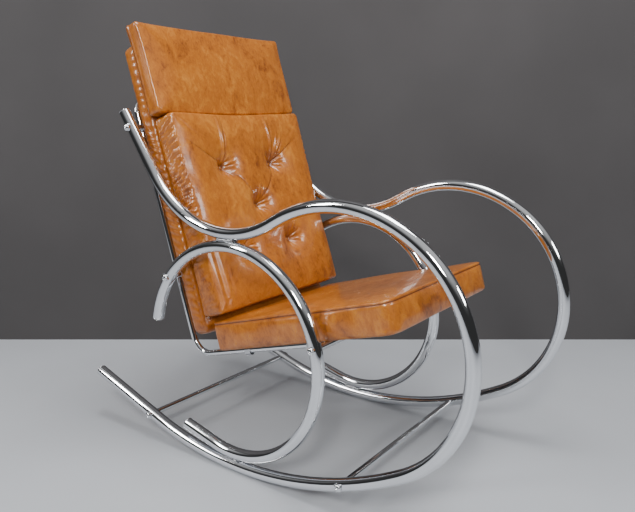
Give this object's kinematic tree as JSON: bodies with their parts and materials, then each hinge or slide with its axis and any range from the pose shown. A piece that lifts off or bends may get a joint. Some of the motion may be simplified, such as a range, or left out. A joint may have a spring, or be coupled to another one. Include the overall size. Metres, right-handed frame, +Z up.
{
  "type": "rocking chair",
  "caption": "Rocking chair with bent chrome tube side frames, each a big open loop on a curved rocker, and a padded seat with a buttoned back in tan vinyl.",
  "frame": {"origin": "on the floor under the rockers, in the middle of the overall width and length", "axes": "+Z up, -Y the way the sitter faces, +X the sitter's left"},
  "size_m": [0.5526, 1.0581, 1.0007],
  "materials": {
    "chrome": "mirror-bright chrome plating",
    "weld": "chrome-plated weld bead",
    "steel": "zinc-plated steel",
    "tan_vinyl": "glossy mottled caramel vinyl",
    "tan_vinyl_back": "glossy mottled caramel vinyl, darker edges",
    "button_vinyl": "button covered in the same vinyl",
    "foam": "cream upholstery foam",
    "plywood": "raw birch plywood",
    "dust_cloth": "black non-woven dust cloth",
    "tie_cord": "waxed twine"
  },
  "bodies": {
    "root": {"outer_tube_right": "chrome", "outer_tube_left": "chrome", "inner_loop_right": "chrome", "inner_loop_left": "chrome", "tube_end_caps": "chrome", "frame_welds": "weld", "upper_back_bar": "chrome", "lower_back_bar": "chrome", "seat_bar": "chrome", "rear_rocker_bar": "chrome", "front_rocker_bar": "chrome", "bar_inserts": "steel", "frame_bolts": "chrome", "saddle_washers": "chrome", "side_rail_right": "chrome", "side_rail_left": "chrome", "top_rail": "chrome", "rail_saddles": "steel", "saddle_screws": "steel", "seat_board": "plywood", "seat_foam": "foam", "seat_cover": "tan_vinyl", "seat_dust_cover": "dust_cloth", "back_board": "plywood", "panel_foam": "foam", "panel_cover": "tan_vinyl_back", "buttoned_foam": "foam", "buttoned_cover": "tan_vinyl", "head_foam": "foam", "head_cover": "tan_vinyl", "tuft_buttons": "button_vinyl", "button_ties": "tie_cord", "button_anchors": "steel"}
  },
  "joints": []
}
